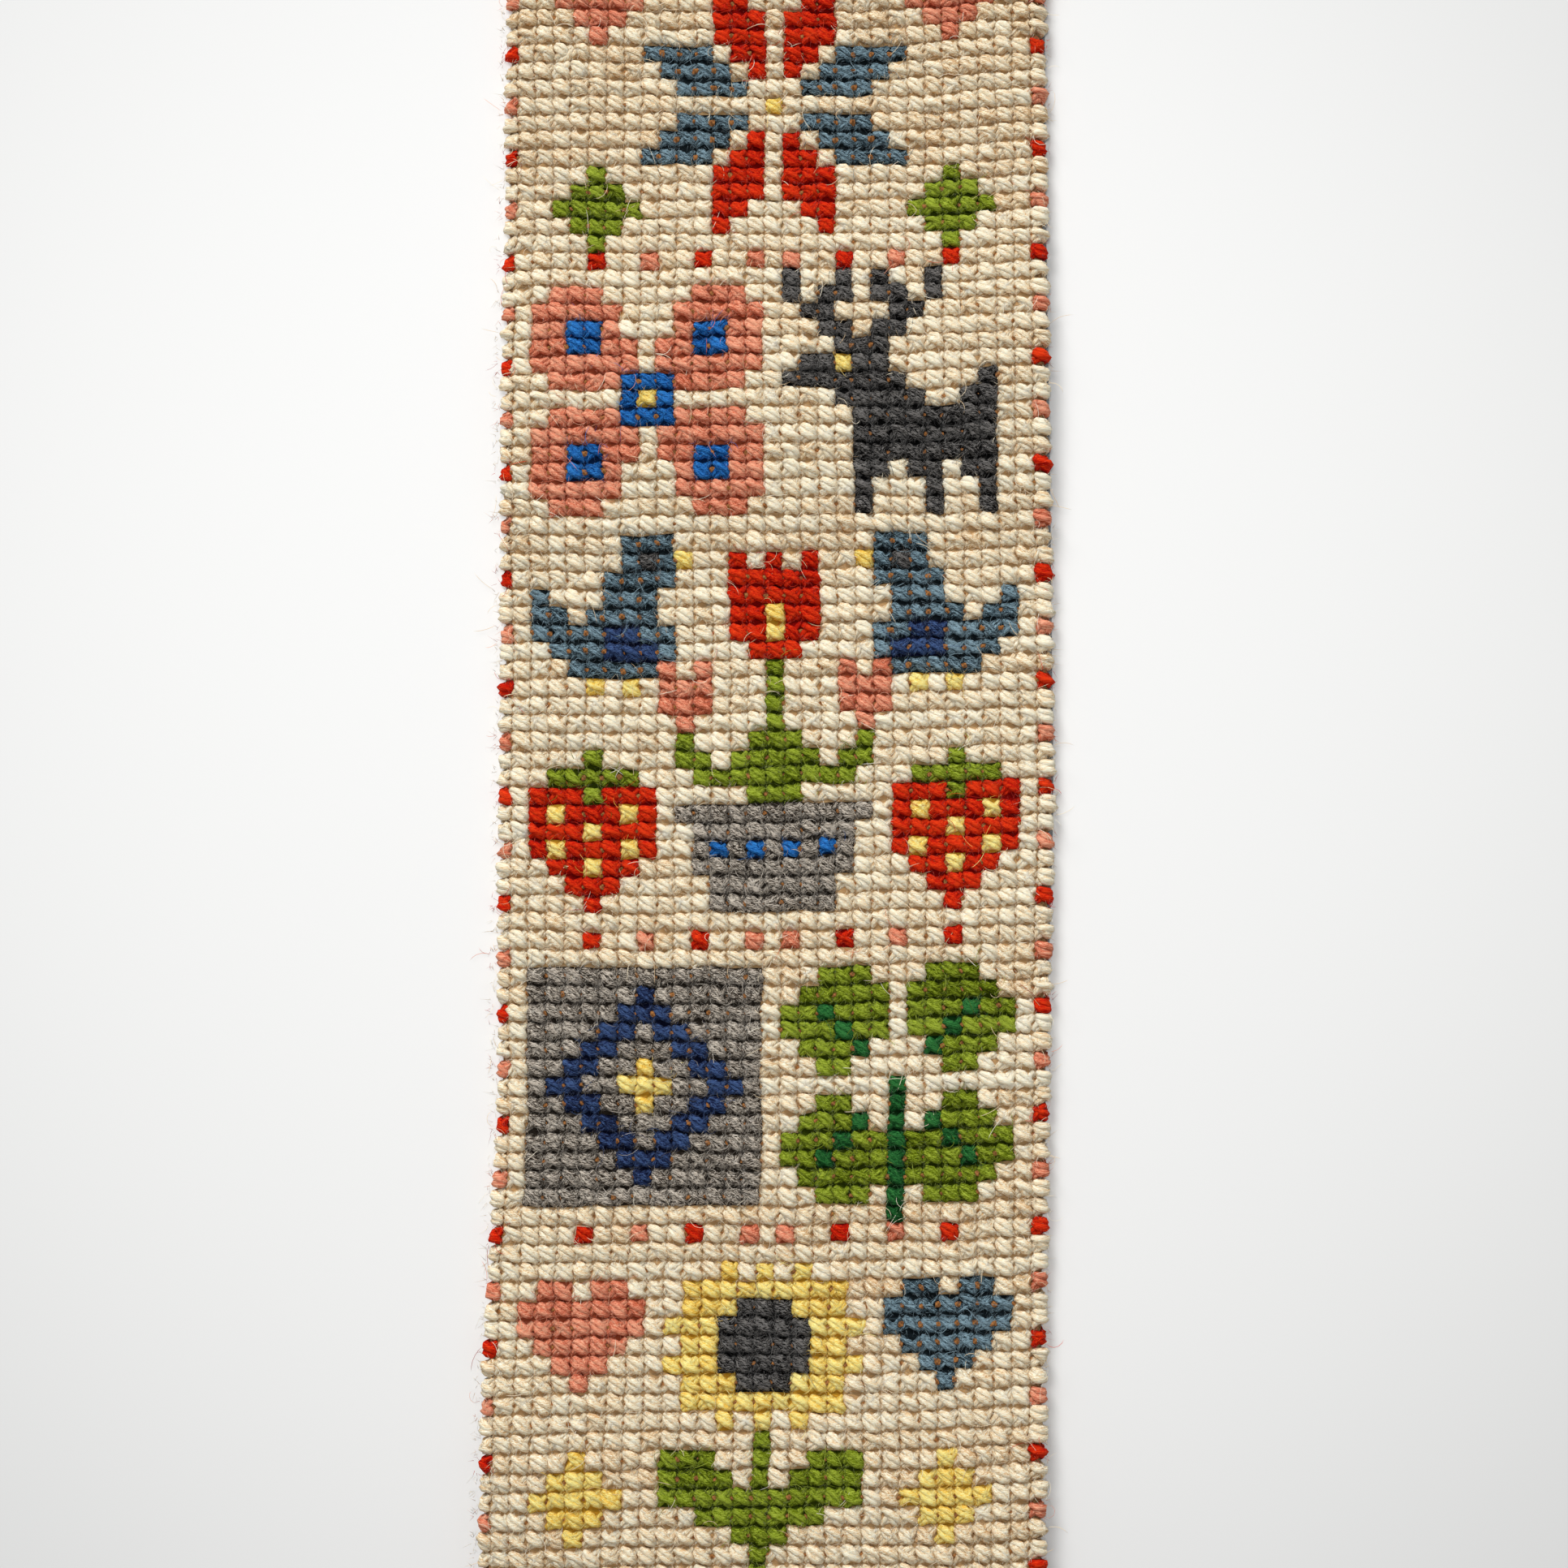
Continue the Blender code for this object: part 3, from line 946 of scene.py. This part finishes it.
def pillow(share_x, share_y):
    """Height of the wool's surface at a place in its square, from -1 to 1 each way."""
    return WOOL_RIM + WOOL_CROWN * (1 - share_x**4) * (1 - share_y**4)


def spike(path, thick):
    """Thin fibres with three corners round the first place of a path, and a point."""
    points = np.repeat(path[:, -1:], 4, axis=1)
    for corner in range(3):
        angle = 2 * math.pi * corner / 3
        points[:, corner] = path[:, 0] + np.outer(thick, (math.cos(angle), math.sin(angle), 0.0))
    faces = [[0, 1, 3], [1, 2, 3], [2, 0, 3], [2, 1, 0]]
    cell = np.array([
        (0.10, 0.1), (0.30, 0.1), (0.20, 0.9),
        (0.35, 0.1), (0.55, 0.1), (0.45, 0.9),
        (0.60, 0.1), (0.80, 0.1), (0.70, 0.9),
        (0.80, 0.7), (0.95, 0.7), (0.90, 0.9),
    ])
    return points, faces, cell


def prism(path, turned, thick):
    """Thin three-sided fibres along a path, with a point at both ends."""
    rings = path.shape[1] - 2
    sideways = np.stack([-np.sin(turned), np.cos(turned)], axis=-1)
    points = [path[:, :1]]
    for ring in range(1, rings + 1):
        for corner in range(3):
            angle = 2 * math.pi * corner / 3 + math.pi / 6
            point = path[:, ring].copy()
            point[:, :2] += sideways[:, ring] * thick[:, None] * math.cos(angle)
            point[:, 2] += thick * math.sin(angle)
            points.append(point[:, None])
    points.append(path[:, -1:])
    faces, corners = spindle(rings, 3)
    cell = np.column_stack([corners[:, 0] / (rings + 1), corners[:, 1] / 3]) * 0.9 + 0.05
    return np.concatenate(points, axis=1), faces, cell


def fibres(fuzz):
    """A batch of loose fibres all over the work, and the colour of each."""
    draw = np.random.default_rng(fuzz.seed)
    hairs = np.zeros((ROWS, COLUMNS))
    tones = np.zeros((ROWS, COLUMNS, 3, 3))
    for dye in DYES:
        worked = chart == dye.letter
        hairs[worked] = dye.hairs
        tones[worked] = [linear(colour)[:3] for colour in (dye.deep, dye.body, dye.pale)]
    count = int(hairs.sum() * fuzz.per_stitch)
    squares = draw.choice(hairs.size, count, p=(hairs / hairs.sum()).ravel())
    rows, columns = np.divmod(squares, COLUMNS)

    # More fibres start near the rim of their square than in its middle, and most point out.
    share = draw.uniform(-1, 1, (count, 2))
    share = ROOTS_WITHIN * np.sign(share) * np.sqrt(np.abs(share))
    reach = draw.uniform(fuzz.shortest, fuzz.longest, count)
    outward = np.arctan2(share[:, 1], share[:, 0])
    heading = outward + draw.normal(0, HEADING_STRAY, count)
    steps = np.linspace(0, 1, fuzz.rings + 2)
    turned = heading[:, None] + draw.normal(0, fuzz.bend, count)[:, None] * steps
    stride = reach[:, None] / (len(steps) - 1)
    path = np.empty((count, len(steps), 3))
    traces = ((hole_x, np.cos(turned)), (hole_y, np.sin(turned)))
    for axis, (holes, trace) in enumerate(traces):
        middle = holes[rows, columns] + STITCH / 2
        walked = np.cumsum(trace * stride, axis=1) - trace[:, :1] * stride
        path[..., axis] = (middle + share[:, axis] * STITCH / 2)[:, None] + walked
    rise = draw.uniform(0.1, 0.5, count)[:, None]
    root = pillow(share[:, 0], share[:, 1])[:, None] - ROOT_DEPTH
    path[..., 2] = root + rise * np.minimum(3 * steps, 1)
    thick = fuzz.thick * draw.uniform(0.7, 1.3, count)
    made = prism(path, turned, thick) if fuzz.rings else spike(path, thick)
    points, faces, cell = made
    batch = Batch(points, faces, cell, np.tile(cell, (count, 1, 1)), np.zeros(count))
    mix = draw.uniform(-0.7, 1.3, (count, 1))
    deep, body, pale = np.moveaxis(tones[rows, columns], 1, 0)
    return batch, body + np.maximum(mix, 0) * (pale - body) + np.maximum(-mix, 0) * (deep - body)


def over_the_edge(points):
    """Fibres are stiff, so they run straight on where the cloth is folded."""
    x, y, z = points.T
    under = canvas_height(np.clip(x, -FOLD_X, FOLD_X), y)
    return np.column_stack([x, y, under + z])


loose_wool, tree, shader = new_material("loose_wool_fibre", 0.7, 0.1)
tint = add_node(tree, "ShaderNodeAttribute", attribute_name="tint")
tree.links.new(tint.outputs["Color"], shader.inputs["Base Color"])

fuzz_pieces = []
for fuzz in FUZZ:
    batch, colours = fibres(fuzz)
    piece = joined(fuzz.name, [batch], lambda points: lie(over_the_edge(points)))
    tints = np.ones((len(piece.data.vertices), 4), np.float32)
    tints[:, :3] = np.repeat(colours, batch.points.shape[1], axis=0)
    layer = piece.data.attributes.new("tint", "FLOAT_COLOR", "POINT")
    layer.data.foreach_set("color", tints.ravel())
    finish_piece(piece, loose_wool)
    fuzz_pieces.append(piece)

# %% [markdown]
# ## The lining
#
# A plain grey cotton covers the back. It shows only as a hairline past the right edge, so it
# is one flat sheet, thick enough for its turned-in edges, with a round rim. Sateen is smooth,
# so its weave is finer than the canvas's and its colour is even. Slip stitches in a thread
# of the same grey hold its rim to the hem, one every 6 mm, each slanting a little.

# %% Cut the lining
LINING_THICK = 0.9
LINING_RIM = 0.4
LINING_TUCK = 1.5
LINING_BACK = 0.35


def lie_lining(points):
    """Lays points of the lining, which is tucked in on the left and peeks on the right."""
    return lie(points, LINING_TUCK, LINING_BACK, peeks=True)


def settle_lining(points):
    """Brings the lining to its full width, rounds its corners and lays it."""
    full_x = points[:, 0] * HALF_WIDTH / (HALF_WIDTH - LINING_RIM)
    x, y = soft_corner(full_x, points[:, 1])
    return lie_lining(np.column_stack([x, y, points[:, 2]]))


lining_length = HALF_LENGTH - LINING_TUCK - LINING_RIM
lining = sheet_mesh("lining_sheet", HALF_WIDTH - LINING_RIM, lining_length, 14, 60)
bpy.ops.object.mode_set(mode="OBJECT")
apply_modifier(lining, "SOLIDIFY", thickness=LINING_THICK, offset=1.0)
apply_modifier(lining, "BEVEL", width=LINING_RIM, segments=3, limit_method="ANGLE",
               angle_limit=math.radians(50))
placed(lining, settle_lining)
lining.data.shade_smooth()
finish_piece(lining, woven("grey_cotton_sateen", "#8b8d8e", "#67696b", 0.30))
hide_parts("lining")

# %% Sew the lining to the hem
SEW_EVERY = 6.0
SEW_FROM_END = 8
SEW_SLANT = 1.4
SEW_INSET = 1.5
SEW_HEIGHTS = (0.85, 1.55)
SEW_THICK = 0.16


def seam_places(inset, ahead, height):
    """Points all round the hanging, at an inset from its edge, each moved on a little."""
    right = HALF_WIDTH - inset
    upper = HALF_LENGTH - LINING_TUCK - inset
    last_y = HALF_LENGTH - SEW_FROM_END
    last_x = HALF_WIDTH - SEW_FROM_END
    ys = np.arange(-last_y, last_y, SEW_EVERY) + ahead
    xs = np.arange(-last_x, last_x, SEW_EVERY) + ahead
    sides = [np.column_stack([np.full(len(ys), x), ys]) for x in (-right, right)]
    sides += [np.column_stack([xs, np.full(len(xs), y)]) for y in (-upper, upper)]
    flat = np.concatenate(sides)
    return np.column_stack([flat, np.full(len(flat), height)])


low_ends = lie_lining(seam_places(0.0, 0.0, SEW_HEIGHTS[0])) / MM
high_ends = lie(seam_places(SEW_INSET, SEW_SLANT, SEW_HEIGHTS[1])) / MM
faces, corners = spindle(2, 4)
way = high_ends - low_ends
sideways = np.column_stack([-way[:, 1], way[:, 0]]) / np.hypot(way[:, 0], way[:, 1])[:, None]
slips = [low_ends[:, None]]
for share in (0.15, 0.85):
    for across, up in ((1, 0), (0, 1), (-1, 0), (0, -1)):
        side = SEW_THICK * np.column_stack([across * sideways, np.full(len(way), up)])
        slips.append((low_ends * (1 - share) + high_ends * share + side)[:, None])
slips.append(high_ends[:, None])
slips = np.concatenate(slips, axis=1)
cell = np.column_stack([corners[:, 0] / 3, corners[:, 1] / 4]) * 0.9 + 0.05
seam = Batch(slips, faces, cell, np.tile(cell, (len(slips), 1, 1)), np.zeros(len(slips)))
sewing = joined("lining_seam_thread", [seam], lambda points: points * MM)
cotton_thread = woven("grey_cotton_thread", "#9a9c9d", "#707274", 0.20)
finish_piece(sewing, cotton_thread)

# %% [markdown]
# ## Table, light and camera
#
# The hanging lies on a white surface under soft daylight from the upper left. The camera
# looks straight down from half a metre, a little from the lower end.

# %% Stage, light and camera
bpy.ops.object.select_all(action="DESELECT")
bpy.ops.mesh.primitive_plane_add(size=4, location=(0, 0, 0))
table = bpy.context.object
table.name = "table"
white, tree, shader = new_material("white_painted_board", 0.6, 0.0)
shader.inputs["Base Color"].default_value = linear("#e9e9e8")
table.data.materials.append(white)

world = bpy.data.worlds.new("soft_room")
bpy.context.scene.world = world
world.use_nodes = True
world.node_tree.nodes["Background"].inputs[0].default_value = linear("#fafbfb")
world.node_tree.nodes["Background"].inputs[1].default_value = 0.26

Lamp = namedtuple("Lamp", "name kind place size power")
LAMPS = (
    Lamp("window", "AREA", (-0.45, 1.70, 1.10), 0.60, 43.0),
    Lamp("overhead", "SPOT", (-0.01, 0.03, 0.90), 0.08, 12.4),
)
for lamp in LAMPS:
    data = bpy.data.lights.new(lamp.name, lamp.kind)
    data.energy = lamp.power
    if lamp.kind == "AREA":
        data.size = lamp.size
    else:
        data.shadow_soft_size = lamp.size
        data.spot_size = math.radians(40)
        data.spot_blend = 1.0
    light = bpy.data.objects.new(lamp.name, data)
    bpy.context.scene.collection.objects.link(light)
    light.location = lamp.place
    light.rotation_euler = (-light.location).to_track_quat("-Z", "Y").to_euler()

CAMERA_TARGET = (2.4, 0.0, 4.5)
CAMERA_DISTANCE = 496
CAMERA_TILT = math.radians(4.6)
CAMERA_ANGLE = math.radians(34.8)

camera_data = bpy.data.cameras.new("camera")
camera = bpy.data.objects.new("camera", camera_data)
bpy.context.scene.collection.objects.link(camera)
camera_data.sensor_width = 36
camera_data.lens = camera_data.sensor_width / 2 / math.tan(CAMERA_ANGLE / 2)
camera_data.clip_start = 0.01
camera.location = [
    CAMERA_TARGET[0] * MM,
    (CAMERA_TARGET[1] - CAMERA_DISTANCE * math.sin(CAMERA_TILT)) * MM,
    (CAMERA_TARGET[2] + CAMERA_DISTANCE * math.cos(CAMERA_TILT)) * MM,
]
camera.rotation_euler = (CAMERA_TILT, 0, 0)
bpy.context.scene.camera = camera
bpy.context.scene.view_settings.view_transform = "Standard"

# %% Measure the dressed hanging and finish
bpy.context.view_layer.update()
dressed = [*stitched, threads, *fuzz_pieces, canvas, lining, sewing]
print("triangles:", sum(triangle_count(piece) for piece in dressed))
